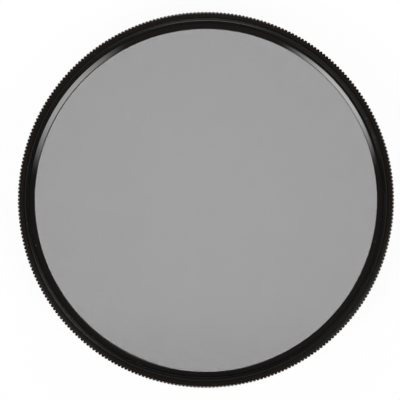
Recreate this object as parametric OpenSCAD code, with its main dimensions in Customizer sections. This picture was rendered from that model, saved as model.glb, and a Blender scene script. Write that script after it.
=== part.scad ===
// Circular polarizing filter for a camera lens, in millimetres.
// The origin is on the axis at the end of the lens thread, and +Z points away from the lens.
// The filter lies on its thread with its front face up. The front ring turns in the mount ring.

/* [Threads] */
// Nominal diameter of the lens thread and of the front thread
thread_d = 77; // [49:0.5:95]
// Pitch of both threads
thread_pitch = 0.75; // [0.5:0.05:1]
// Length of the male lens thread, from its end to the shoulder
lens_thread_l = 2; // [1.4:0.1:3.5]
// Chamfer at the end of the lens thread
thread_chamfer = 0.3; // [0.1:0.05:0.4]
// Chamfer at the mouth of the front thread
mouth_chamfer = 0.1; // [0.05:0.01:0.2]
// Width of the relief groove at the foot of each thread
relief_w = 0.3; // [0.1:0.05:0.4]
// How far a relief groove is turned past the root of its thread
relief_t = 0.05; // [0.02:0.01:0.1]
// Play between the bevel and the end of a second filter that is screwed in
stack_play = 0.15; // [0.05:0.05:0.5]

/* [Mount ring] */
// Thickness of the floor between the shoulder and the bore
floor_t = 0.5; // [0.3:0.05:1.5]
// Height of the flange around the bore, above the floor
flange_h = 2.4; // [1.6:0.1:3]
// How far the smooth flange stays inside the roots of the knurl
flange_inset = 0.05; // [0:0.05:0.3]
// Chamfer on the outer edges of the flange
flange_chamfer = 0.25; // [0.1:0.05:0.4]
// Radial room for the retainer to come out through the mount ring
mouth_play = 0.05; // [0.02:0.01:0.1]

/* [Rim] */
// Wall of the rim outside the nominal thread diameter
rim_wall = 0.35; // [0.25:0.05:1.5]
// Height of the rim above the shoulder
rim_h = 0.8; // [0.7:0.1:1.5]
// Width of the chamfer on the outer edge of the rim
rim_chamfer = 0.55; // [0.2:0.05:0.6]
// Slope of that chamfer, in degrees from level
rim_slope = 37; // [20:1:45]
// Narrowest flat that is left between the two chamfers of the rim
rim_land = 0.05; // [0.02:0.01:0.1]
// Radius of the cove at the foot of the rim
cove_r = 0.1; // [0.04:0.01:0.15]
// Width of the fine groove around the foot of the rim
seam_w = 0.08; // [0.04:0.01:0.15]
// Depth of that groove
seam_t = 0.1; // [0.05:0.01:0.2]

/* [Grip] */
// Width of the plain shoulder from the fine groove to the roots of the knurl
shoulder_w = 0.92; // [0.7:0.02:3]
// Distance between the teeth of the knurl
knurl_pitch = 0.81; // [0.7:0.01:2]
// Height of a tooth from root to tip
tooth_h = 0.37; // [0.2:0.01:0.45]
// Share of the pitch that is flat at a tooth's tip
tip_share = 0.16; // [0.05:0.01:0.4]
// How far the ends of the teeth are turned below their roots
end_turn = 0.05; // [0.02:0.01:0.2]
// Slope of the turned ends, in degrees from level
end_slope = 35; // [20:1:45]

/* [Bevel and lip] */
// Flat ledge between the foot of the front thread and the bevel
ledge_w = 0.15; // [0.05:0.05:0.3]
// Height of the bevel
bevel_h = 0.5; // [0.2:0.05:0.8]
// How much steeper the bowed bevel is at the lip than at the ledge, in degrees
bevel_turn = 18; // [4:1:24]
// Chamfer on the inner edge of the lip
lip_edge = 0.1; // [0.05:0.01:0.3]
// Straight height of the lip's edge, above the glass
lip_land = 0.2; // [0.05:0.05:0.5]
// How far the lip covers the glass pocket
lip_w = 0.4; // [0.3:0.05:1.5]

/* [Running fit] */
// Radial clearance between the neck and the bore
run_play = 0.05; // [0.02:0.01:0.1]
// Gap between the rings, under the neck and under the grip
end_play = 0.1; // [0.1:0.01:0.3]
// Wall of the neck around the glass pocket
neck_wall = 1.4; // [1.1:0.05:2]
// Diameter of the spring wire
wire_d = 0.5; // [0.3:0.05:0.7]
// Play of the wire in its grooves
wire_play = 0.04; // [0.02:0.01:0.05]
// Gap between the ends of the wire, in degrees
wire_gap = 14; // [4:1:60]

/* [Glass] */
// How far the glass pocket lies inside the nominal thread radius
pocket_inset = 1.36; // [1.1:0.02:4]
// Radial play of the glass in its pocket
glass_play = 0.05; // [0.02:0.01:0.2]
// Thickness of each glass disc
glass_t = 0.8; // [0.5:0.05:1.1]
// Ground bevel on the edges of the glass
glass_bevel = 0.12; // [0.05:0.01:0.2]
// Thickness of the polarizing film
polarizer_t = 0.2; // [0.05:0.01:0.4]
// Thickness of the quarter-wave film
retarder_t = 0.1; // [0.05:0.01:0.3]
// Thickness of the cement between two layers
cement_t = 0.02; // [0.01:0.01:0.05]

/* [Retainer] */
// Thickness of the retaining ring
retainer_t = 0.7; // [0.4:0.05:1]
// Radial width of the retaining ring
retainer_w = 0.5; // [0.4:0.05:2]
// How far the retainer's thread is larger than the glass pocket, in radius
retainer_step = 0.25; // [0.15:0.01:0.4]
// Radial play of the retainer in its thread
retainer_play = 0.04; // [0.02:0.01:0.1]
// How far the retainer lies inside the end of the neck
retainer_inset = 0.05; // [0:0.01:0.3]
// Number of spanner slots
slot_count = 2; // [2:1:6]
// Width of a spanner slot
slot_w = 1.4; // [0.8:0.1:4]
// Depth of a spanner slot
slot_t = 0.3; // [0.1:0.05:0.35]

/* [Hidden] */
$fn = 180;
// Steps in a round
round_steps = 6;

// A metric thread's root lies inside its nominal radius by this share of the pitch
ROOT_SHARE = 0.5413;

// Radii of the threads and the rim, outwards from the front thread
thread_r = thread_d / 2;
thread_root_r = thread_r - ROOT_SHARE * thread_pitch;
rim_r = thread_r + rim_wall;
rim_cut = min(rim_chamfer, rim_r - thread_root_r - mouth_chamfer - rim_land);
shoulder_r = rim_r + cove_r + seam_w;
tooth_root_r = shoulder_r + shoulder_w;
tooth_tip_r = tooth_root_r + tooth_h;
tooth_end_r = tooth_root_r - end_turn;
tooth_end_h = (tooth_tip_r - tooth_end_r) * tan(end_slope);

// Full teeth only, and one on each of the four axis directions
knurl_teeth = 4 * round(2 * PI * tooth_tip_r / knurl_pitch / 4);

// Radii of the running fit and the glass
pocket_r = thread_r - pocket_inset;
glass_r = pocket_r - glass_play;
lip_r = pocket_r - lip_w;
bevel_r = thread_root_r - ledge_w;
neck_r = pocket_r + neck_wall;
bore_r = neck_r + run_play;
flange_r = tooth_root_r - flange_inset;
retainer_bore_r = pocket_r + retainer_step;
retainer_r = retainer_bore_r - retainer_play;
mouth_r = retainer_bore_r + mouth_play;

// The wire sits half in each ring, and the neck's groove takes all of it during assembly
flange_groove_r = bore_r + wire_d / 2 + wire_play;
neck_groove_r = neck_r - wire_d - wire_play;
groove_w = wire_d + 2 * wire_play;

// Heights, from the end of the lens thread upwards
shoulder_z = lens_thread_l;
floor_z = shoulder_z + floor_t;
flange_top_z = floor_z + flange_h;
wire_z = floor_z + flange_h / 2;
neck_z = floor_z + end_play;
retainer_z = neck_z + retainer_inset;
rear_glass_z = retainer_z + retainer_t;
retarder_z = rear_glass_z + glass_t + cement_t;
polarizer_z = retarder_z + retarder_t + cement_t;
front_glass_z = polarizer_z + polarizer_t + cement_t;
lip_z = front_glass_z + glass_t;
bevel_z = lip_z + lip_land + lip_edge;
ledge_z = bevel_z + bevel_h;
rim_top_z = ledge_z + lens_thread_l + stack_play;
grip_z = flange_top_z + end_play;
grip_top_z = rim_top_z - rim_h;

// A ring turned from an outline of [radius, height] points
module turned(outline) {
    rotate_extrude() polygon(outline);
}

// The mount ring: lens thread, shoulder, and the bore with its groove for the wire.
// The relief groove is turned a little into the shoulder too, so that a lens seats flat on it.
module mount_ring() {
    color("#1d1b1b") turned([
        [mouth_r, 0],
        [thread_r - thread_chamfer, 0],
        [thread_r, thread_chamfer],
        [thread_r, shoulder_z - relief_w],
        [thread_root_r - relief_t, shoulder_z - relief_w],
        [thread_root_r - relief_t, shoulder_z + relief_t],
        [thread_r + relief_t, shoulder_z + relief_t],
        [thread_r + relief_t, shoulder_z],
        [flange_r - flange_chamfer, shoulder_z],
        [flange_r, shoulder_z + flange_chamfer],
        [flange_r, flange_top_z - flange_chamfer],
        [flange_r - flange_chamfer, flange_top_z],
        [bore_r, flange_top_z],
        [bore_r, wire_z + groove_w / 2],
        [flange_groove_r, wire_z + groove_w / 2],
        [flange_groove_r, wire_z - groove_w / 2],
        [bore_r, wire_z - groove_w / 2],
        [bore_r, floor_z],
        [mouth_r, floor_z]
    ]);
}

// The sprung wire that keeps the front ring in the mount ring
module spring_wire() {
    color("#b9bcc0") rotate([0, 0, 90 + wire_gap / 2])
        rotate_extrude(angle = 360 - wire_gap) translate([bore_r, wire_z]) circle(d = wire_d);
}

// A quarter round that runs inwards and up from the foot of the rim
function cove() = [
    for (i = [0 : round_steps])
        let (a = 90 * i / round_steps)
        [rim_r + cove_r * (1 - sin(a)), grip_top_z + cove_r * (1 - cos(a))]
];

// The bevel from the ledge down to the lip: an arc that bows outwards between its two ends
function bevel() =
    let (
        run = bevel_r - lip_r - lip_edge,
        first = atan(bevel_h / run) - bevel_turn / 2,
        arc_r = norm([run, bevel_h]) / (2 * sin(bevel_turn / 2))
    )
    [
        for (i = [0 : round_steps])
            let (a = first + bevel_turn * i / round_steps)
            [bevel_r - arc_r * (sin(a) - sin(first)), ledge_z - arc_r * (cos(first) - cos(a))]
    ];

// The outside of the front ring from the end of the neck to the mouth of the front thread
function ring_outside() = [
    [retainer_bore_r, neck_z],
    [neck_r, neck_z],
    [neck_r, wire_z - groove_w / 2],
    [neck_groove_r, wire_z - groove_w / 2],
    [neck_groove_r, wire_z + groove_w / 2],
    [neck_r, wire_z + groove_w / 2],
    [neck_r, grip_z],
    [tooth_end_r, grip_z],
    [tooth_tip_r, grip_z + tooth_end_h],
    [tooth_tip_r, grip_top_z - tooth_end_h],
    [tooth_end_r, grip_top_z],
    [shoulder_r, grip_top_z],
    [shoulder_r, grip_top_z - seam_t],
    [shoulder_r - seam_w, grip_top_z - seam_t],
    each cove(),
    [rim_r, rim_top_z - rim_cut * tan(rim_slope)],
    [rim_r - rim_cut, rim_top_z],
    [thread_root_r + mouth_chamfer, rim_top_z]
];

// The inside of the front ring from its front thread down to the thread of the retainer
function ring_inside() = [
    [thread_root_r, rim_top_z - mouth_chamfer],
    [thread_root_r, ledge_z + relief_w],
    [thread_r + relief_t, ledge_z + relief_w],
    [thread_r + relief_t, ledge_z],
    each bevel(),
    [lip_r, lip_z + lip_land],
    [lip_r, lip_z],
    [pocket_r, lip_z],
    [pocket_r, rear_glass_z + relief_w],
    [retainer_bore_r, rear_glass_z + relief_w]
];

// The two points at a tooth's tip and the one at the root after it
function tooth(i) =
    let (
        step = 360 / knurl_teeth,
        tip = step * tip_share / 2,
        root = (i + 0.5) * step
    )
    [
        for (a = [i * step - tip, i * step + tip]) tooth_tip_r * [cos(a), sin(a)],
        tooth_root_r * [cos(root), sin(root)]
    ];

// The straight knurl: what lies outside this toothed column is cut from the turned ring
module knurl() {
    translate([0, 0, floor_z]) linear_extrude(rim_top_z - floor_z + end_play)
        polygon([for (i = [0 : knurl_teeth - 1]) each tooth(i)]);
}

// The front ring, turned in one piece and then knurled
module front_ring() {
    color("#1f1c1b") intersection() {
        turned(concat(ring_outside(), ring_inside()));
        knurl();
    }
}

// A glass disc with ground edges, its lower face at a height
module glass_disc(z) {
    turned([
        [0, z],
        [glass_r - glass_bevel, z],
        [glass_r, z + glass_bevel],
        [glass_r, z + glass_t - glass_bevel],
        [glass_r - glass_bevel, z + glass_t],
        [0, z + glass_t]
    ]);
}

// A sheet of film, cut to the flat of the glass
module film_disc(z, t) {
    translate([0, 0, z]) cylinder(r = glass_r - glass_bevel, h = t);
}

module front_glass() {
    color("#c4c6c8", 0.4) glass_disc(front_glass_z);
}

module polarizer_film() {
    color("#6f7072", 0.7) film_disc(polarizer_z, polarizer_t);
}

module quarter_wave_film() {
    color("#d9dbd6", 0.3) film_disc(retarder_z, retarder_t);
}

module rear_glass() {
    color("#c4c6c8", 0.4) glass_disc(rear_glass_z);
}

// The threaded ring behind the glass, with slots for a spanner
module glass_retainer() {
    color("#181818") difference() {
        turned([
            [retainer_r - retainer_w, retainer_z],
            [retainer_r, retainer_z],
            [retainer_r, rear_glass_z],
            [retainer_r - retainer_w, rear_glass_z]
        ]);
        for (i = [0 : slot_count - 1])
            rotate([0, 0, i * 360 / slot_count]) translate([0, -slot_w / 2, floor_z])
                cube([retainer_bore_r, slot_w, retainer_z + slot_t - floor_z]);
    }
}

mount_ring();
spring_wire();
front_ring();
front_glass();
polarizer_film();
quarter_wave_film();
rear_glass();
glass_retainer();
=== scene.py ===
# %% [markdown]
# Circular polarizing filter: the look of the part.
#
# The real thing is a pair of black anodised aluminium rings. The front one carries a cemented stack of
# glass, grey polarizing film and clear retarder film, and it turns in the mount ring, held by a sprung
# wire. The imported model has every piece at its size. Here each piece is made again with what the packed
# one leaves out: helical threads, broken edges, the flat crests of the knurl and real finishes.

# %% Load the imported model
import math

import bmesh
import bpy
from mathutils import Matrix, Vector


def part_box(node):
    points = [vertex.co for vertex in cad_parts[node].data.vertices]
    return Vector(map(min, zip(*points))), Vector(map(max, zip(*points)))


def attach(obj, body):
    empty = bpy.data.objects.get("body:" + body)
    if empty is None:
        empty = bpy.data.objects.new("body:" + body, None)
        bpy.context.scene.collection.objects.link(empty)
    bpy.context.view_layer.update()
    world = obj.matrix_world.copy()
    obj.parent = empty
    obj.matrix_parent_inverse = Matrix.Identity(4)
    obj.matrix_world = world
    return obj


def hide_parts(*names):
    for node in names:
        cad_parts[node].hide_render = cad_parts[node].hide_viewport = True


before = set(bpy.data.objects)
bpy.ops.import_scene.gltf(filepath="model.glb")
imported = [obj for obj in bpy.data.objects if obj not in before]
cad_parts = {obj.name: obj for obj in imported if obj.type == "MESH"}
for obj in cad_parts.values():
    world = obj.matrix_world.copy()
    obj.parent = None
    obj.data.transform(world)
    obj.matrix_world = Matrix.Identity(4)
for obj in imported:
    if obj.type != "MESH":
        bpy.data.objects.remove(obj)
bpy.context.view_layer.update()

MM = 0.001

# %% [markdown]
# Sizes come first. On a real filter everything is turned about one axis, so a piece is a list of radii and
# heights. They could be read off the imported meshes, but named numbers are easier to follow, and only the
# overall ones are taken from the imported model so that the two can't drift apart. A name that ends in R is
# a radius and one in Z a height. The others are widths, depths and cuts. THREAD_SHARE is the depth of a 60
# degree thread as a share of its pitch, CREST_SHARE is how much of the knurl's pitch is crest, and PAST is
# how far a thread's cutter reaches out of the metal.

# %% Radii and heights in millimetres
THREAD_R = 38.5
THREAD_ROOT_R = 38.094
THREAD_PITCH = 0.75
THREAD_SHARE = 0.5413
THREAD_MOUTH = 0.1
LENS_CUT = 0.3
FINE_PITCH = 0.35
FINE_DEPTH = THREAD_SHARE * FINE_PITCH
PAST = 0.06
RELIEF_T = 0.05
RELIEF_W = 0.3
RIM_R = 38.85
RIM_CUT = 0.55
RIM_SLOPE = math.radians(37)
COVE_R = 0.1
GROOVE_W = 0.08
GROOVE_H = 0.1
TOOTH_END_R = 39.90
TOOTH_ROOT_R = 39.95
TOOTH_END_SLOPE = math.radians(35)
TEETH = 312
CREST_SHARE = 0.5
CREST_BREAK = 0.05
BEVEL_R = 37.944
BEVEL_FOOT_R = 36.84
BEVEL_TURN = math.radians(18)
LIP_R = 36.71
LIP_LAND = 0.2
POCKET_R = 37.14
POCKET_STEP = 0.3
RETAINER_BORE_R = 37.39
NECK_R = 38.54
BORE_R = 38.59
MOUNT_BORE_R = 37.44
SEAT_R = 38.55
SEAT_H = 0.05
FLANGE_R = 39.9
FLANGE_CUT = 0.25
WIRE_R = 0.25
WIRE_SLOT = WIRE_R + 0.04
WIRE_GAP = math.radians(14)
MOUNT_GROOVE_R = 38.88
NECK_GROOVE_R = 38.0
RETAINER_W = 0.5
SLOT_W = 1.4
SLOT_DEPTH = 0.3

TOOTH_TIP_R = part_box("front_ring")[1].x / MM
CREST_END_R = TOOTH_TIP_R - 0.005
NECK_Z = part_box("front_ring")[0].z / MM
RIM_TOP_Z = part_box("front_ring")[1].z / MM
SHOULDER_Z = 2.0
FLOOR_Z = 2.5
WIRE_Z = 3.7
FLANGE_TOP_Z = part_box("mount_ring")[1].z / MM
GRIP_Z = 5.0
GRIP_TOP_Z = 7.46
LEDGE_Z = 6.11
BEVEL_Z = 5.61
LIP_Z = 5.31
REAR_GLASS_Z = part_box("rear_glass")[0].z / MM
RETAINER_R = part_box("glass_retainer")[1].x / MM
RETAINER_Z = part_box("glass_retainer")[0].z / MM
print("teeth every", round(2 * math.pi * TOOTH_TIP_R / TEETH, 3), "mm")
print("rim top at", round(RIM_TOP_Z, 3), "mm")

# %% [markdown]
# A lathe turns a bar against a tool that follows an outline. Blender's Spin does the same: an outline is
# drawn in the XZ plane, corner by corner with Extrude, and swept around the Z axis. No turned edge is
# perfectly sharp, so the outline's corners are broken with a vertex bevel before the spin. Done there, it
# costs one extra loop a corner, and it is much cheaper than bevelling the finished ring.

# %% Helpers for selecting
def only(piece):
    """Selects one object and makes it the active one."""
    bpy.ops.object.select_all(action="DESELECT")
    piece.select_set(True)
    bpy.context.view_layer.objects.active = piece


def pick(kind, wanted):
    """In edit mode, selects the verts, edges or faces that pass a test, and nothing else."""
    mesh = bpy.context.object.data
    bpy.ops.mesh.select_mode(type={"verts": "VERT", "edges": "EDGE", "faces": "FACE"}[kind])
    bpy.ops.mesh.select_all(action="DESELECT")
    shape = bmesh.from_edit_mesh(mesh)
    count = 0
    for part in getattr(shape, kind):
        if wanted(part):
            part.select_set(True)
            count += 1
    shape.select_flush_mode()
    bmesh.update_edit_mesh(mesh)
    return count


def radius_of(point):
    """Distance from the axis in millimetres."""
    return math.hypot(point.x, point.y) / MM


# %% Helpers for turning a ring
def draw_outline(name, points, edge_break=0.0, sharp=()):
    """Draws a closed outline of (radius, height) corners in the XZ plane and leaves it in edit mode."""
    bpy.ops.object.select_all(action="DESELECT")
    bpy.ops.mesh.primitive_plane_add(size=MM)
    piece = bpy.context.object
    piece.name = piece.data.name = name
    bpy.ops.object.mode_set(mode="EDIT")
    bpy.ops.mesh.select_mode(type="VERT")
    bpy.ops.mesh.merge(type="CENTER")
    bpy.ops.transform.translate(value=(points[0][0] * MM, 0, points[0][1] * MM))
    for (r_from, z_from), (r_to, z_to) in zip(points, points[1:]):
        step = ((r_to - r_from) * MM, 0, (z_to - z_from) * MM)
        bpy.ops.mesh.extrude_vertices_move(TRANSFORM_OT_translate={"value": step})
    bpy.ops.mesh.select_all(action="SELECT")
    bpy.ops.mesh.edge_face_add()
    if edge_break:
        pick("verts", lambda v: not any(abs(radius_of(v.co) - r) < 0.001 for r in sharp))
        bpy.ops.mesh.bevel(offset=edge_break * MM, segments=1, affect="VERTICES")
    bpy.ops.mesh.select_all(action="SELECT")
    bpy.ops.mesh.delete(type="ONLY_FACE")
    return piece


def sweep(piece, steps, angle=2 * math.pi):
    """Spins the outline that is in edit mode around the axis, and turns its faces outwards."""
    bpy.ops.mesh.select_all(action="SELECT")
    whole_turn = math.isclose(angle, 2 * math.pi)
    bpy.ops.mesh.spin(steps=steps, angle=angle, center=(0, 0, 0), axis=(0, 0, 1), use_auto_merge=whole_turn)
    bpy.ops.mesh.select_all(action="SELECT")
    bpy.ops.mesh.remove_doubles(threshold=1e-7)
    bpy.ops.mesh.normals_make_consistent(inside=False)
    bpy.ops.object.mode_set(mode="OBJECT")
    return piece


# %% [markdown]
# The threads are what someone who screws a filter on would miss at once. They could be faked with rings of
# ridges, but a real one is a helix that runs out into its relief groove. So a coil with the V of the
# cutting tool is made with the Screw modifier, trimmed flat with Bisect where the tool would stop, and
# taken off the ring with a Boolean, as the lathe does it.

# %% Helpers for cutting
def cut(piece, cutter):
    """Takes a cutting shape off a piece and removes the shape."""
    only(piece)
    bpy.ops.object.modifier_add(type="BOOLEAN")
    cutting = piece.modifiers[-1]
    cutting.operation = "DIFFERENCE"
    cutting.solver = "MANIFOLD"
    cutting.object = cutter
    faces = len(piece.data.polygons)
    bpy.ops.object.modifier_apply(modifier=cutting.name)
    bpy.data.objects.remove(cutter)
    print("cut into", piece.name, "faces:", faces, "to", len(piece.data.polygons))
    return piece


def trim(coil, height, drop_below):
    """Cuts a coil flat at a height and drops the part below or above it."""
    only(coil)
    bpy.ops.object.mode_set(mode="EDIT")
    bpy.ops.mesh.select_all(action="SELECT")
    bpy.ops.mesh.bisect(plane_co=(0, 0, height * MM), plane_no=(0, 0, 1), use_fill=True,
                        clear_inner=drop_below, clear_outer=not drop_below, threshold=1e-8)
    bpy.ops.object.mode_set(mode="OBJECT")


def thread_coil(bottom_r, mouth_r, bottom_flat, pitch, low, turns):
    """A coil with the 60 degree V of a thread, narrow at bottom_r and wide at mouth_r.

    It starts at the height low and climbs one pitch a turn.
    """
    half = bottom_flat / 2 + abs(mouth_r - bottom_r) * math.tan(math.radians(30))
    coil = draw_outline("thread_coil", [
        (bottom_r, low - bottom_flat / 2),
        (mouth_r, low - half),
        (mouth_r, low + half),
        (bottom_r, low + bottom_flat / 2),
    ])
    bpy.ops.object.mode_set(mode="OBJECT")
    bpy.ops.object.modifier_add(type="SCREW")
    screw = coil.modifiers[-1]
    screw.axis = "Z"
    screw.screw_offset = pitch * MM
    screw.iterations = turns
    screw.steps = screw.render_steps = 300
    bpy.ops.object.modifier_apply(modifier=screw.name)
    bpy.ops.object.mode_set(mode="EDIT")
    bpy.ops.mesh.select_all(action="SELECT")
    bpy.ops.mesh.fill_holes(sides=4)
    bpy.ops.mesh.select_all(action="SELECT")
    bpy.ops.mesh.normals_make_consistent(inside=False)
    bpy.ops.object.mode_set(mode="OBJECT")
    return coil


# %% [markdown]
# Smooth shading would bend light across the flats next to each small broken edge. The Weighted Normal
# modifier lets the large faces win, so that the flats stay flat and only the broken edges catch the light.

# %% Helper for shading
def shade(piece, angle=40):
    """Smooths up to an angle in degrees and keeps the large faces flat."""
    only(piece)
    bpy.ops.object.shade_smooth_by_angle(angle=math.radians(angle))
    bpy.ops.object.modifier_add(type="WEIGHTED_NORMAL")
    weighting = piece.modifiers[-1]
    weighting.keep_sharp = True
    bpy.ops.object.modifier_apply(modifier=weighting.name)
    print(piece.name, "has", len(piece.data.polygons), "faces")
    return piece


# %% [markdown]
# The mount ring is what screws onto the lens. From below: the male thread with its end chamfer, the relief
# groove where the thread stops, the shoulder that seats on the lens, and a smooth flange around the bore.
# The bore has a groove for half of the wire.

# %% Mount ring
mount_ring = draw_outline("mount_ring_turned", [
    (MOUNT_BORE_R, 0),
    (THREAD_R - LENS_CUT, 0),
    (THREAD_R, LENS_CUT),
    (THREAD_R, SHOULDER_Z - RELIEF_W),
    (THREAD_ROOT_R - RELIEF_T, SHOULDER_Z - RELIEF_W),
    (THREAD_ROOT_R - RELIEF_T, SHOULDER_Z + SEAT_H),
    (SEAT_R, SHOULDER_Z + SEAT_H),
    (SEAT_R, SHOULDER_Z),
    (FLANGE_R - FLANGE_CUT, SHOULDER_Z),
    (FLANGE_R, SHOULDER_Z + FLANGE_CUT),
    (FLANGE_R, FLANGE_TOP_Z - FLANGE_CUT),
    (FLANGE_R - FLANGE_CUT, FLANGE_TOP_Z),
    (BORE_R, FLANGE_TOP_Z),
    (BORE_R, WIRE_Z + WIRE_SLOT),
    (MOUNT_GROOVE_R, WIRE_Z + WIRE_SLOT),
    (MOUNT_GROOVE_R, WIRE_Z - WIRE_SLOT),
    (BORE_R, WIRE_Z - WIRE_SLOT),
    (BORE_R, FLOOR_Z),
    (MOUNT_BORE_R, FLOOR_Z),
], edge_break=0.02)
sweep(mount_ring, steps=360)

lens_coil = thread_coil(THREAD_ROOT_R, THREAD_R + PAST, THREAD_PITCH / 4, THREAD_PITCH, low=-0.45, turns=4)
trim(lens_coil, height=SHOULDER_Z - 0.03, drop_below=False)
cut(mount_ring, lens_coil)
shade(mount_ring)

# %% [markdown]
# The wire is round spring steel, bent into a ring with a gap so that it can be squeezed into the neck's
# groove while the rings go together. A filled circle is spun by less than a full turn, which leaves its
# two cut ends.

# %% Spring wire
bpy.ops.object.select_all(action="DESELECT")
bpy.ops.mesh.primitive_circle_add(vertices=16, radius=WIRE_R * MM, fill_type="NGON",
                                  location=(BORE_R * MM, 0, WIRE_Z * MM), rotation=(math.pi / 2, 0, 0))
spring_wire = bpy.context.object
spring_wire.name = spring_wire.data.name = "spring_wire_bent"
bpy.ops.object.transform_apply(location=True, rotation=True, scale=True)
bpy.ops.object.mode_set(mode="EDIT")
bpy.ops.mesh.select_all(action="SELECT")
bpy.ops.transform.rotate(value=-(math.pi / 2 + WIRE_GAP / 2), orient_axis="Z", center_override=(0, 0, 0))
sweep(spring_wire, steps=288, angle=2 * math.pi - WIRE_GAP)
shade(spring_wire, angle=50)

# %% [markdown]
# The front ring is one piece: the neck that runs in the mount ring, the grip, the raised rim with the
# front thread inside, the bevel and the lip over the glass. It is spun with two columns of vertices to a
# tooth. The outline goes out to the sharp apex that the flanks of a tooth would meet in, and the next step
# cuts the teeth.

# %% Front ring, turned
FLANK_X = math.pi * TOOTH_TIP_R / TEETH
CREST_X = CREST_SHARE * FLANK_X
APEX_R = TOOTH_TIP_R + CREST_X * (TOOTH_TIP_R - TOOTH_ROOT_R) / (FLANK_X - CREST_X)
APEX_RISE = (APEX_R - TOOTH_END_R) * math.tan(TOOTH_END_SLOPE)

cove = [(RIM_R + COVE_R * (1 - math.sin(a)), GRIP_TOP_Z + COVE_R * (1 - math.cos(a)))
        for a in (0, math.pi / 6, math.pi / 3, math.pi / 2)]

# The bevel is bowed: an arc whose slope grows from the ledge to the lip
run, fall = BEVEL_R - BEVEL_FOOT_R, LEDGE_Z - BEVEL_Z
first_slope = math.atan(fall / run) - BEVEL_TURN / 2
arc_r = math.hypot(run, fall) / (2 * math.sin(BEVEL_TURN / 2))
slopes = [first_slope + BEVEL_TURN * i / 10 for i in range(11)]
bevel = [(BEVEL_R - arc_r * (math.sin(a) - math.sin(first_slope)),
          LEDGE_Z - arc_r * (math.cos(first_slope) - math.cos(a))) for a in slopes]

front_ring = draw_outline("front_ring_turned", [
    (RETAINER_BORE_R, NECK_Z),
    (NECK_R, NECK_Z),
    (NECK_R, WIRE_Z - WIRE_SLOT),
    (NECK_GROOVE_R, WIRE_Z - WIRE_SLOT),
    (NECK_GROOVE_R, WIRE_Z + WIRE_SLOT),
    (NECK_R, WIRE_Z + WIRE_SLOT),
    (NECK_R, GRIP_Z),
    (TOOTH_END_R, GRIP_Z),
    (APEX_R, GRIP_Z + APEX_RISE),
    (APEX_R, GRIP_TOP_Z - APEX_RISE),
    (TOOTH_END_R, GRIP_TOP_Z),
    (RIM_R + COVE_R + GROOVE_W, GRIP_TOP_Z),
    (RIM_R + COVE_R + GROOVE_W, GRIP_TOP_Z - GROOVE_H),
    (RIM_R + COVE_R, GRIP_TOP_Z - GROOVE_H),
    *cove,
    (RIM_R, RIM_TOP_Z - RIM_CUT * math.tan(RIM_SLOPE)),
    (RIM_R - RIM_CUT, RIM_TOP_Z),
    (THREAD_ROOT_R + THREAD_MOUTH, RIM_TOP_Z),
    (THREAD_ROOT_R, RIM_TOP_Z - THREAD_MOUTH),
    (THREAD_ROOT_R, LEDGE_Z + RELIEF_W),
    (THREAD_R + RELIEF_T, LEDGE_Z + RELIEF_W),
    (THREAD_R + RELIEF_T, LEDGE_Z),
    *bevel,
    (LIP_R, LIP_Z + LIP_LAND),
    (LIP_R, LIP_Z),
    (POCKET_R, LIP_Z),
    (POCKET_R, REAR_GLASS_Z + POCKET_STEP),
    (RETAINER_BORE_R, REAR_GLASS_Z + POCKET_STEP),
], edge_break=0.015, sharp=[APEX_R] + [r for r, z in bevel[1:-1]])
sweep(front_ring, steps=2 * TEETH)

# %% [markdown]
# A straight knurl is cut by a wheel that leaves V grooves along the axis. Every second column at the apex
# is scaled in to the root, and moved along the axis so that it stays on the turned cone at each end of the
# grip. Then the sharp apexes are bevelled flat, because what stands between two grooves is the turned
# blank. The bevel leaves the two ends of each crest a little high. They are scaled in with the rest, and
# the long corners of the crests are broken.

# %% Front ring, knurled
def is_root_column(point):
    """Whether a point stands on one of the columns between two teeth."""
    return round(math.atan2(point.y, point.x) / (math.pi / TEETH)) % 2 == 1


def at_apex(vert):
    """Whether a vertex still stands at the sharp apex."""
    return abs(radius_of(vert.co) - APEX_R) < 0.002


only(front_ring)
bpy.ops.object.mode_set(mode="EDIT")
middle = (GRIP_Z + GRIP_TOP_Z) / 2 * MM
shrink = TOOTH_ROOT_R / APEX_R
drop = (APEX_R - TOOTH_ROOT_R) * math.tan(TOOTH_END_SLOPE)
for side in (-1, 1):
    roots = pick("verts", lambda v: at_apex(v) and is_root_column(v.co) and (v.co.z - middle) * side > 0)
    bpy.ops.transform.translate(value=(0, 0, side * drop * MM))
    bpy.ops.transform.resize(value=(shrink, shrink, 1), center_override=(0, 0, 0))
    print("roots moved:", roots)
crests = pick("edges", lambda e: all(at_apex(v) for v in e.verts) and e.calc_length() > MM)
bpy.ops.mesh.bevel(offset_type="WIDTH", offset=2 * CREST_X * MM, affect="EDGES")

highest = max(radius_of(v.co) for v in bmesh.from_edit_mesh(front_ring.data).verts)
crest_ends = pick("verts", lambda v: radius_of(v.co) > TOOTH_TIP_R)
shrink = CREST_END_R / highest
bpy.ops.transform.resize(value=(shrink, shrink, 1), center_override=(0, 0, 0))

corners = pick("edges", lambda e: (all(radius_of(v.co) > TOOTH_TIP_R - 0.02 for v in e.verts)
                                   and e.calc_length() > MM))
bpy.ops.mesh.bevel(offset_type="WIDTH", offset=CREST_BREAK * MM, affect="EDGES")
bpy.ops.object.mode_set(mode="OBJECT")
print("crests cut flat:", crests, "- ends scaled in:", crest_ends, "- corners broken:", corners)

# %% [markdown]
# The front thread takes a lens hood, a cap or a second filter. The coil points outwards here, and starts
# below the relief groove, so that trimming it just above the ledge gives a true run-out. The neck gets a
# finer thread on the inside for the retaining ring.

# %% Front ring, threaded
front_coil = thread_coil(THREAD_R, THREAD_ROOT_R - PAST, THREAD_PITCH / 8, THREAD_PITCH, low=5.9, turns=4)
trim(front_coil, height=LEDGE_Z + 0.02, drop_below=True)
cut(front_ring, front_coil)

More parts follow.
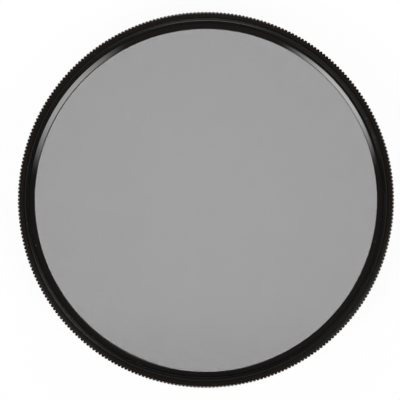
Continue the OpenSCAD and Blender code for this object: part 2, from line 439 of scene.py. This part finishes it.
neck_coil = thread_coil(RETAINER_BORE_R + FINE_DEPTH, RETAINER_BORE_R - PAST / 2, FINE_PITCH / 8, FINE_PITCH,
                        low=2.4, turns=4)
trim(neck_coil, height=REAR_GLASS_Z + POCKET_STEP - 0.03, drop_below=False)
cut(front_ring, neck_coil)
shade(front_ring)

# %% [markdown]
# The two glasses are ground discs with a small bevel all round, without which the edge would chip. A
# cylinder is added at the size of the disc, and its two rims are bevelled. The films are cut from sheet to
# the flat of the glass, so they only get the slightest break on their edges.

# %% Glass and films
def disc(name, node, edge):
    """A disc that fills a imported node, with bevelled rims."""
    low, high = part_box(node)
    bpy.ops.object.select_all(action="DESELECT")
    bpy.ops.mesh.primitive_cylinder_add(vertices=256, radius=high.x, depth=high.z - low.z,
                                        location=(0, 0, (low.z + high.z) / 2))
    piece = bpy.context.object
    piece.name = piece.data.name = name
    bpy.ops.object.transform_apply(location=True, rotation=True, scale=True)
    bpy.ops.object.mode_set(mode="EDIT")
    pick("edges", lambda e: abs(e.verts[0].co.z - e.verts[1].co.z) < 1e-7)
    bpy.ops.mesh.bevel(offset=edge * MM, segments=1, affect="EDGES")
    bpy.ops.object.mode_set(mode="OBJECT")
    return shade(piece, angle=30)


front_glass = disc("front_glass_ground", "front_glass", edge=0.12)
rear_glass = disc("rear_glass_ground", "rear_glass", edge=0.12)
polarizer_film = disc("polarizer_film_cut", "polarizer_film", edge=0.015)
quarter_wave_film = disc("quarter_wave_film_cut", "quarter_wave_film", edge=0.01)

# %% [markdown]
# The retaining ring screws into the neck behind the glass. It has a fine thread outside, and two slots
# across its back for a pin spanner. Each slot is cut with a box that is longer than the ring is wide.

# %% Glass retainer
glass_retainer = draw_outline("glass_retainer_turned", [
    (RETAINER_R - RETAINER_W, RETAINER_Z),
    (RETAINER_R, RETAINER_Z),
    (RETAINER_R, REAR_GLASS_Z),
    (RETAINER_R - RETAINER_W, REAR_GLASS_Z),
], edge_break=0.03)
sweep(glass_retainer, steps=360)

retainer_coil = thread_coil(RETAINER_R - FINE_DEPTH, RETAINER_R + PAST / 2, FINE_PITCH / 4, FINE_PITCH,
                            low=2.4, turns=5)
cut(glass_retainer, retainer_coil)
BOX_L, BOX_H = 2.0, 0.5
box_x = 37
box_z = RETAINER_Z + SLOT_DEPTH - BOX_H / 2
for side in (-1, 1):
    bpy.ops.object.select_all(action="DESELECT")
    bpy.ops.mesh.primitive_cube_add(size=1, location=(side * box_x * MM, 0, box_z * MM),
                                    scale=(BOX_L * MM, SLOT_W * MM, BOX_H * MM))
    slot_box = bpy.context.object
    bpy.ops.object.transform_apply(location=True, rotation=True, scale=True)
    cut(glass_retainer, slot_box)
shade(glass_retainer)

# %% [markdown]
# Colours are written as the hex codes that a picture shows and turned to linear light in one place. Nodes
# are added with one small helper that fills or links each input by its name. Two more use it, to mix
# colours and to calculate.

# %% Helpers for materials
def srgb(code, alpha=1.0):
    """The linear colour of a hex code."""
    channels = [int(code[i:i + 2], 16) / 255 for i in (0, 2, 4)]
    return tuple(c / 12.92 if c <= 0.04045 else ((c + 0.055) / 1.055) ** 2.4 for c in channels) + (alpha,)


def add(tree, kind, options=(), **inputs):
    """Adds a node. An input is named with _ for a space, or i0, i1 for its place; a socket is linked."""
    node = tree.nodes.new("ShaderNode" + kind)
    for name, value in dict(options).items():
        setattr(node, name, value)
    for name, value in inputs.items():
        by_place = name[0] == "i" and name[1:].isdigit()
        socket = node.inputs[int(name[1:])] if by_place else node.inputs[name.replace("_", " ")]
        if isinstance(value, bpy.types.NodeSocket):
            tree.links.new(value, socket)
        else:
            socket.default_value = value
    return node


def blend(tree, share, first, second):
    """The mix of two colours by a share."""
    return add(tree, "Mix", {"data_type": "RGBA"}, i0=share, i6=first, i7=second).outputs[2]


def calc(tree, operation, *values):
    """What one step of arithmetic makes of numbers or sockets."""
    inputs = {f"i{place}": value for place, value in enumerate(values)}
    return add(tree, "Math", {"operation": operation}, **inputs).outputs[0]


def new_material(name):
    """An empty material: its node tree and its output."""
    material = bpy.data.materials.new(name)
    material.use_nodes = True
    material.node_tree.nodes.clear()
    return material, material.node_tree, material.node_tree.nodes.new("ShaderNodeOutputMaterial")


# %% [markdown]
# Black anodised aluminium is metal under a clear dyed oxide, a few hundredths of a millimetre thick. Light
# reflects from the top of the oxide as it does from plastic, and the dye takes nearly all the rest. So it
# is a dark base with a dielectric gloss and not a metallic one. The lathe leaves fine rings around the
# axis: they are a noise that reads only the distance from the axis and the height, and they stretch the
# gloss across themselves. The dye is never even, and a little dust lies on what faces up.

# %% Anodised finish
def axis_distance(tree):
    """Object coordinates in millimetres, the distance from the axis, and the height."""
    place = add(tree, "TexCoord").outputs["Object"]
    in_mm = add(tree, "VectorMath", {"operation": "SCALE"}, i0=place, Scale=1 / MM).outputs[0]
    flat = add(tree, "VectorMath", {"operation": "MULTIPLY"}, i0=in_mm, i1=(1, 1, 0)).outputs[0]
    radius = add(tree, "VectorMath", {"operation": "LENGTH"}, i0=flat).outputs["Value"]
    height = add(tree, "SeparateXYZ", Vector=in_mm).outputs["Z"]
    return in_mm, radius, height


def anodised(name, dark, pale, roughness, gloss, turning, anisotropy=0.0, crest=None, clean=0.9):
    """Dyed oxide in two tints. Gloss is its specular level, and turning its rings' height in micrometres.

    The crests of the knurl may have a tint of their own. Clean is the share of the cells without a speck.
    """
    material, tree, output = new_material(name)
    in_mm, radius, height = axis_distance(tree)

    cloud = add(tree, "TexNoise", Vector=in_mm, Scale=0.35, Detail=3.0, Roughness=0.6).outputs["Fac"]
    tint = blend(tree, cloud, srgb(dark), srgb(pale))
    if crest:
        worn = add(tree, "MapRange", Value=radius, From_Min=TOOTH_TIP_R - 0.12, From_Max=TOOTH_TIP_R - 0.02)
        tint = blend(tree, worn.outputs[0], tint, srgb(crest))

    cells = add(tree, "TexVoronoi", {"voronoi_dimensions": "2D"}, Vector=in_mm, Scale=0.55)
    near = calc(tree, "LESS_THAN", cells.outputs["Distance"], 0.03)
    pale_cell = add(tree, "SeparateColor", Color=cells.outputs["Color"]).outputs[0]
    rare = calc(tree, "GREATER_THAN", pale_cell, clean)
    normal = add(tree, "NewGeometry").outputs["Normal"]
    facing_up = add(tree, "SeparateXYZ", Vector=normal).outputs["Z"]
    upward = calc(tree, "GREATER_THAN", facing_up, 0.6)
    speck = calc(tree, "MULTIPLY", near, rare)
    speck = calc(tree, "MULTIPLY", speck, upward)
    tint = blend(tree, speck, tint, srgb("8a8784"))

    along = calc(tree, "MULTIPLY_ADD", height, 1.7, radius)
    rings = add(tree, "TexNoise", {"noise_dimensions": "1D"}, W=along, Scale=11.0, Detail=2.0).outputs["Fac"]
    bump = add(tree, "Bump", Height=rings, Strength=1.0, Distance=turning * 1e-6)
    grain = add(tree, "TexNoise", Vector=in_mm, Scale=22.0, Detail=2.0).outputs["Fac"]
    spread = add(tree, "MapRange", Value=grain, To_Min=roughness * 0.85, To_Max=roughness * 1.15).outputs[0]

    surface = add(tree, "BsdfPrincipled", Base_Color=tint, Roughness=spread, Normal=bump.outputs[0],
                  IOR=1.6, Specular_IOR_Level=gloss)
    if anisotropy:
        surface.inputs["Anisotropic"].default_value = anisotropy
        surface.inputs["Anisotropic Rotation"].default_value = 0.25
        around = add(tree, "Tangent", {"direction_type": "RADIAL", "axis": "Z"}).outputs[0]
        tree.links.new(around, surface.inputs["Tangent"])
    tree.links.new(surface.outputs[0], output.inputs[0])
    return material


shoulder_finish = anodised("anodised_shoulder", "1b1714", "201b18", roughness=0.28, gloss=0.18, turning=2.0,
                           anisotropy=0.6)
knurl_finish = anodised("anodised_knurl", "150f0d", "1a1310", roughness=0.55, gloss=0.03, turning=2.0,
                        crest="1d0f0c")
rim_finish = anodised("anodised_rim", "111110", "161615", roughness=0.12, gloss=0.062, turning=2.0,
                      anisotropy=0.3)
bevel_finish = anodised("anodised_bevel", "191614", "1d1a18", roughness=0.08, gloss=0.5, turning=0.5)
inner_finish = anodised("anodised_inner", "121111", "171616", roughness=0.42, gloss=0.05, turning=3.0,
                        clean=1.0)
matte_finish = anodised("anodised_matte", "121212", "161616", roughness=0.6, gloss=0.25, turning=3.0,
                        clean=1.0)
ring_finishes = [shoulder_finish, rim_finish, bevel_finish, inner_finish, knurl_finish]
print("finishes of the front ring:", ", ".join(finish.name for finish in ring_finishes))

# %% [markdown]
# Spring wire is drawn through a die, which leaves bright metal with faint lines along it.

# %% Spring steel
def drawn_steel(name):
    """Bright metal with lines that run along the wire."""
    material, tree, output = new_material(name)
    radius, height = axis_distance(tree)[1:]
    across = add(tree, "CombineXYZ", X=radius, Y=height).outputs[0]
    lines = add(tree, "TexNoise", Vector=across, Scale=18.0, Detail=3.0).outputs["Fac"]
    tint = blend(tree, lines, srgb("a9acb0"), srgb("c9ccd0"))
    spread = add(tree, "MapRange", Value=lines, To_Min=0.2, To_Max=0.34).outputs[0]
    surface = add(tree, "BsdfPrincipled", Base_Color=tint, Roughness=spread, Metallic=1.0)
    tree.links.new(surface.outputs[0], output.inputs[0])
    return material


steel_finish = drawn_steel("drawn_spring_steel")
print("finish of the wire:", steel_finish.name)

# %% [markdown]
# The optical stack is cemented, so light meets only two surfaces where it can reflect: the front of the
# front glass and the back of the rear one. Both are coated. Full refraction on each of the eight surfaces
# would give ghost images that the real stack doesn't have. The discs are flat and thin, so they show what
# is behind them straight: a coated face is a Fresnel mix of clear and gloss, and a cemented face is simply
# clear.

# %% Coated and cemented glass
def clear_mix(tree, output, surface, share, tint):
    """Puts a share of a surface over clear, tinted glass."""
    clear = add(tree, "BsdfTransparent", Color=tint)
    mixed = add(tree, "MixShader", i0=share, i1=clear.outputs[0], i2=surface.outputs[0])
    tree.links.new(mixed.outputs[0], output.inputs[0])


def coated_glass(name):
    """A face with an anti-reflection coating: clear, with a faint sheen at a slant."""
    material, tree, output = new_material(name)
    in_mm = axis_distance(tree)[0]
    haze = add(tree, "TexNoise", Vector=in_mm, Scale=0.08, Detail=2.0).outputs["Fac"]
    spread = add(tree, "MapRange", Value=haze, To_Min=0.01, To_Max=0.03).outputs[0]
    sheen = blend(tree, haze, srgb("c8e6d4"), srgb("e2cfe8"))
    surface = add(tree, "BsdfPrincipled", Base_Color=sheen, Roughness=spread, Metallic=1.0)
    share = add(tree, "Fresnel", IOR=1.22).outputs[0]
    from_behind = add(tree, "NewGeometry").outputs["Backfacing"]
    share = add(tree, "Mix", {"data_type": "FLOAT"}, i0=from_behind, i2=share, i3=0.0).outputs[0]
    clear_mix(tree, output, surface, share, (0.996, 0.989, 0.996, 1))
    return material


def cemented_face(name):
    """A clear face that turns to ground glass at the edge of the disc."""
    material, tree, output = new_material(name)
    in_mm, radius = axis_distance(tree)[:2]
    edge = add(tree, "MapRange", Value=radius, From_Min=36.95, From_Max=37.0, To_Min=0.0, To_Max=0.85)
    ground = add(tree, "TexNoise", Vector=in_mm, Scale=9.0, Detail=2.0).outputs["Fac"]
    tint = blend(tree, ground, srgb("8f9694"), srgb("b4bab8"))
    surface = add(tree, "BsdfPrincipled", Base_Color=tint, Roughness=0.5, Specular_IOR_Level=0.2)
    clear_mix(tree, output, surface, edge.outputs[0], (1, 1, 1, 1))
    return material


coated = coated_glass("coated_optical_glass")
cemented = cemented_face("cemented_optical_glass")
print("faces of the glass:", coated.name, "and", cemented.name)

# %% [markdown]
# The polarizing film is stretched plastic dyed grey. It takes about two thirds of the light. Painted shade
# makes it take a little more towards the edge, and more again at the lower edge. The stretching leaves
# streaks that are almost too faint to see. The retarder film is clear with a trace of yellow. Both are
# cemented in, so they have no gloss of their own.

# %% Films
def grey_film(name):
    """Dyed film. The veil is the share of the light it takes and gives back as grey, plus painted shade at
    the edges.
    """
    material, tree, output = new_material(name)
    in_mm, radius = axis_distance(tree)[:2]
    stretched = add(tree, "VectorMath", {"operation": "MULTIPLY"}, i0=in_mm, i1=(0.9, 0.03, 1.0)).outputs[0]
    streaks = add(tree, "TexNoise", Vector=stretched, Scale=1.0, Detail=2.0).outputs["Fac"]
    # Painted shade: the film takes a little more light towards the edge.
    painted_edge_shade = add(tree, "MapRange", Value=radius, From_Min=8.0, From_Max=37.0, To_Min=0.0, To_Max=0.013)
    veil = add(tree, "MapRange", Value=streaks, To_Min=0.376, To_Max=0.382).outputs[0]
    veil = calc(tree, "ADD", veil, painted_edge_shade.outputs[0])
    # Painted shade: the film takes more light again towards the lower edge.
    lower = add(tree, "SeparateXYZ", Vector=in_mm).outputs["Y"]
    painted_lower_shade = add(tree, "MapRange", {"interpolation_type": "SMOOTHSTEP"}, Value=lower, From_Min=-38.0,
                      From_Max=-20.0, To_Min=0.024, To_Max=0.0)
    veil = calc(tree, "ADD", veil, painted_lower_shade.outputs[0])
    tint = blend(tree, streaks, srgb("1a1a1b"), srgb("1e1e20"))
    surface = add(tree, "BsdfPrincipled", Base_Color=tint, Roughness=0.4, Specular_IOR_Level=0.0, Alpha=veil)
    tree.links.new(surface.outputs[0], output.inputs[0])
    return material


def clear_film(name):
    """Film that can hardly be seen."""
    material, tree, output = new_material(name)
    in_mm = axis_distance(tree)[0]
    waves = add(tree, "TexNoise", Vector=in_mm, Scale=0.05, Detail=1.0).outputs["Fac"]
    tint = blend(tree, waves, srgb("c9c9c2"), srgb("d6d6d0"))
    veil = add(tree, "MapRange", Value=waves, To_Min=0.008, To_Max=0.012).outputs[0]
    surface = add(tree, "BsdfPrincipled", Base_Color=tint, Roughness=0.4, Specular_IOR_Level=0.0, Alpha=veil)
    tree.links.new(surface.outputs[0], output.inputs[0])
    return material


polarizing_finish = grey_film("grey_polarizing_film")
retarder_finish = clear_film("clear_retarder_film")
print("finishes of the films:", polarizing_finish.name, "and", retarder_finish.name)

# %% [markdown]
# Each piece gets its finishes by place. The front ring has five: the flat shoulder, the rim, the bright
# bevel with the lip, the dull inside with its threads, and the knurl.

# %% Dress the pieces
def dress(piece, materials, which=lambda face: 0):
    """Gives a piece its materials, one of them to each face."""
    piece.data.materials.clear()
    for material in materials:
        piece.data.materials.append(material)
    for face in piece.data.polygons:
        face.material_index = which(face)
    print(piece.name, "wears", ", ".join(material.name for material in materials))


def front_ring_zone(face):
    """0 for the shoulder, 1 for the rim, 2 for the bevel and the lip, 3 for the inside, 4 for the knurl."""
    radius, height = radius_of(face.center), face.center.z / MM
    groove_floor = GRIP_TOP_Z - GROOVE_H - 0.02
    if RIM_R + COVE_R - 0.02 < radius < TOOTH_END_R + 0.003 and height > groove_floor:
        return 0
    if radius > TOOTH_END_R - 0.02 and height > GRIP_Z - 0.01:
        return 4
    if radius > RIM_R - 0.2 and height > groove_floor:
        return 1
    if radius > RIM_R - RIM_CUT - 0.02 and height > RIM_TOP_Z - 0.45:
        return 1
    if height > RIM_TOP_Z - 0.01:
        return 1
    if radius < BEVEL_R + 0.14 and LIP_Z + 0.02 < height < LEDGE_Z + 0.01:
        return 2
    return 3


def mount_ring_zone(face):
    """0 for the outside, 1 for the bore."""
    return 1 if radius_of(face.center) < BORE_R + 0.01 and face.center.z > (SHOULDER_Z + 0.2) * MM else 0


def glass_zone(outer_sign):
    """0 for the coated face that looks outwards along the axis, 1 for all that is cemented or ground."""
    return lambda face: 0 if face.normal.z * outer_sign > 0.9 else 1


dress(mount_ring, [shoulder_finish, inner_finish], mount_ring_zone)
dress(spring_wire, [steel_finish])
dress(front_ring, ring_finishes, front_ring_zone)
dress(front_glass, [coated, cemented], glass_zone(1))
dress(rear_glass, [coated, cemented], glass_zone(-1))
dress(polarizer_film, [polarizing_finish])
dress(quarter_wave_film, [retarder_finish])
dress(glass_retainer, [matte_finish])

# %% [markdown]
# Every piece stands in for its imported node and rides on the same body. Each row also gives the finish of
# the record.

# %% Put the pieces on their bodies
PIECES = [
    (mount_ring, "mount_ring", "mount", "anodised_ring"),
    (spring_wire, "spring_wire", "mount", "spring_steel"),
    (front_ring, "front_ring", "front", "anodised_ring"),
    (front_glass, "front_glass", "front", "optical_glass"),
    (polarizer_film, "polarizer_film", "front", "polarizing_film"),
    (quarter_wave_film, "quarter_wave_film", "front", "retarder_film"),
    (rear_glass, "rear_glass", "front", "optical_glass"),
    (glass_retainer, "glass_retainer", "front", "anodised_retainer"),
]
for piece, node, body, finish in PIECES:
    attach(piece, body)
    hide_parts(node)
    print(piece.name, "rides on", body, "in place of", node)

# %% [markdown]
# The photograph has a pure white ground with no shadow to speak of. The floor is white to whatever sees it
# directly, in the gloss or through the glass, and a small share of it is lit by the lamps, which leaves
# room for a faint shadow.

# %% Floor
def white_floor(name):
    """Paper that glows white where it is seen, and is plain white paper to every other ray."""
    material, tree, output = new_material(name)
    path = add(tree, "LightPath").outputs
    seen = calc(tree, "MAXIMUM", path["Is Camera Ray"], path["Is Glossy Ray"])
    seen = calc(tree, "MAXIMUM", seen, path["Is Transmission Ray"])
    glow = add(tree, "Emission", Color=(1, 1, 1, 1), Strength=0.95)
    paper = add(tree, "BsdfDiffuse", Color=(0.06, 0.06, 0.06, 1))
    both = add(tree, "AddShader", i0=glow.outputs[0], i1=paper.outputs[0])
    plain = add(tree, "BsdfDiffuse", Color=srgb("e8e8e8"))
    mixed = add(tree, "MixShader", i0=seen, i1=plain.outputs[0], i2=both.outputs[0])
    tree.links.new(mixed.outputs[0], output.inputs[0])
    return material


bpy.ops.object.select_all(action="DESELECT")
bpy.ops.mesh.primitive_plane_add(size=8, location=(0, 0, -0.01 * MM))
floor = bpy.context.object
floor.name = "floor"
dress(floor, [white_floor("white_paper")])
print("floor of", floor.dimensions.x, "m under the thread")

# %% [markdown]
# The world is a studio. Where the camera or the glass looks straight at it, it is white. In what the metal
# mirrors, it is white at the horizon, where the paper sweep would be, and falls to nearly black by 14
# degrees up, because the room is dark around the camera. The flats of the ring mirror that part.

# %% World
world = bpy.data.worlds.new("studio")
bpy.context.scene.world = world
world.use_nodes = True
sky = world.node_tree
sky.nodes.clear()
direction = add(sky, "TexCoord").outputs["Generated"]
up = add(sky, "SeparateXYZ", Vector=direction).outputs["Z"]
overhead = add(sky, "MapRange", {"interpolation_type": "SMOOTHSTEP"}, Value=up, From_Min=0.0, From_Max=0.25,
               To_Min=1.0, To_Max=0.06)
path = add(sky, "LightPath").outputs
direct = calc(sky, "MAXIMUM", path["Is Camera Ray"], path["Is Transmission Ray"])
level = add(sky, "Mix", {"data_type": "FLOAT"}, i0=direct, i2=overhead.outputs[0], i3=1.0).outputs[0]
backdrop = add(sky, "Background", Color=(1, 1, 1, 1), Strength=level)
add(sky, "OutputWorld", Surface=backdrop.outputs[0])
print("world of", len(sky.nodes), "nodes")

# %% [markdown]
# Two soft boxes stand upright to the lower left and the lower right of the picture. The bowed bevel
# mirrors each of them as an arc on the far side of the ring, and an upright lamp gives an arc that ends
# square. A lamp is dimmer towards its sides, so the arcs fade out. The steep foot of the bevel mirrors a
# strip near the floor, so the left box has one of its own, with a gap between that keeps the rim dark. A
# low card behind the object brightens the chamfer at the top, and a broad dim one above it the flats.

# %% Lamps
LAMP_REACH = 0.45


def soft_box(name, azimuth, low, high, width, radiance):
    """An upright lamp that spans the elevations low to high, in degrees.

    The azimuth runs clockwise from the top of the picture. The width and LAMP_REACH are in metres.
    """
    foot, head = [LAMP_REACH * math.tan(math.radians(e)) for e in (low, high)]
    lamp = bpy.data.lights.new(name, "AREA")
    lamp.shape = "RECTANGLE"
    lamp.size, lamp.size_y = width, head - foot
    lamp.energy = radiance * math.pi * width * (head - foot)
    lamp.use_nodes = True
    glow = lamp.node_tree
    glow.nodes.clear()
    across = add(glow, "SeparateXYZ", Vector=add(glow, "NewGeometry").outputs["Parametric"]).outputs["X"]
    aside = calc(glow, "ABSOLUTE", calc(glow, "SUBTRACT", across, 0.5))
    fade = add(glow, "MapRange", {"interpolation_type": "SMOOTHSTEP"}, Value=aside, From_Min=0.07,
               From_Max=0.5, To_Min=1.0, To_Max=0.0).outputs[0]
    add(glow, "OutputLight", Surface=add(glow, "Emission", Strength=fade).outputs[0])

    holder = bpy.data.objects.new(name, lamp)
    bpy.context.scene.collection.objects.link(holder)
    a = math.radians(azimuth)
    holder.location = (LAMP_REACH * math.sin(a), LAMP_REACH * math.cos(a), (foot + head) / 2)
    holder.rotation_euler = (math.pi / 2, 0, math.pi - a)
    holder.visible_camera = False
    print(name, "gives", round(lamp.energy, 2), "W")


soft_box("soft_box_left", azimuth=233, low=27.2, high=54.1, width=0.47, radiance=7.8)
soft_box("sweep_left", azimuth=233, low=0.3, high=7, width=0.47, radiance=7.8)
soft_box("soft_box_right", azimuth=124, low=30.5, high=63, width=0.47, radiance=5.9)
soft_box("low_card", azimuth=1, low=9, high=21, width=0.45, radiance=18)
soft_box("back_card", azimuth=20, low=21, high=32, width=1.2, radiance=0.6)

# %% [markdown]
# The camera hangs a metre above the filter, a little over one degree off its axis towards the lower edge
# of the picture. The photograph shows it: the rings stand at different heights, and their circles don't
# share one centre. The aim and the lens put the outline where it lies in the photograph.

# %% Camera
TILT_X, TILT_Y = math.radians(1.18), math.radians(-0.21)
AIM_X, AIM_Y, AIM_Z = -1.279, -0.049, 6.4
CAMERA_FAR = 1.0
lens = bpy.data.cameras.new("camera")
lens.sensor_width = 36
lens.lens = 419.6
camera = bpy.data.objects.new("camera", lens)
bpy.context.scene.collection.objects.link(camera)
camera.rotation_euler = (TILT_X, TILT_Y, 0)
turn = camera.rotation_euler.to_matrix()
aim = turn.col[0] * (AIM_X * MM) + turn.col[1] * (AIM_Y * MM)
aim.z += AIM_Z * MM
camera.location = aim + turn.col[2] * CAMERA_FAR
bpy.context.scene.camera = camera
bpy.context.scene.view_settings.view_transform = "Standard"
print("camera at", [round(v, 4) for v in camera.location])
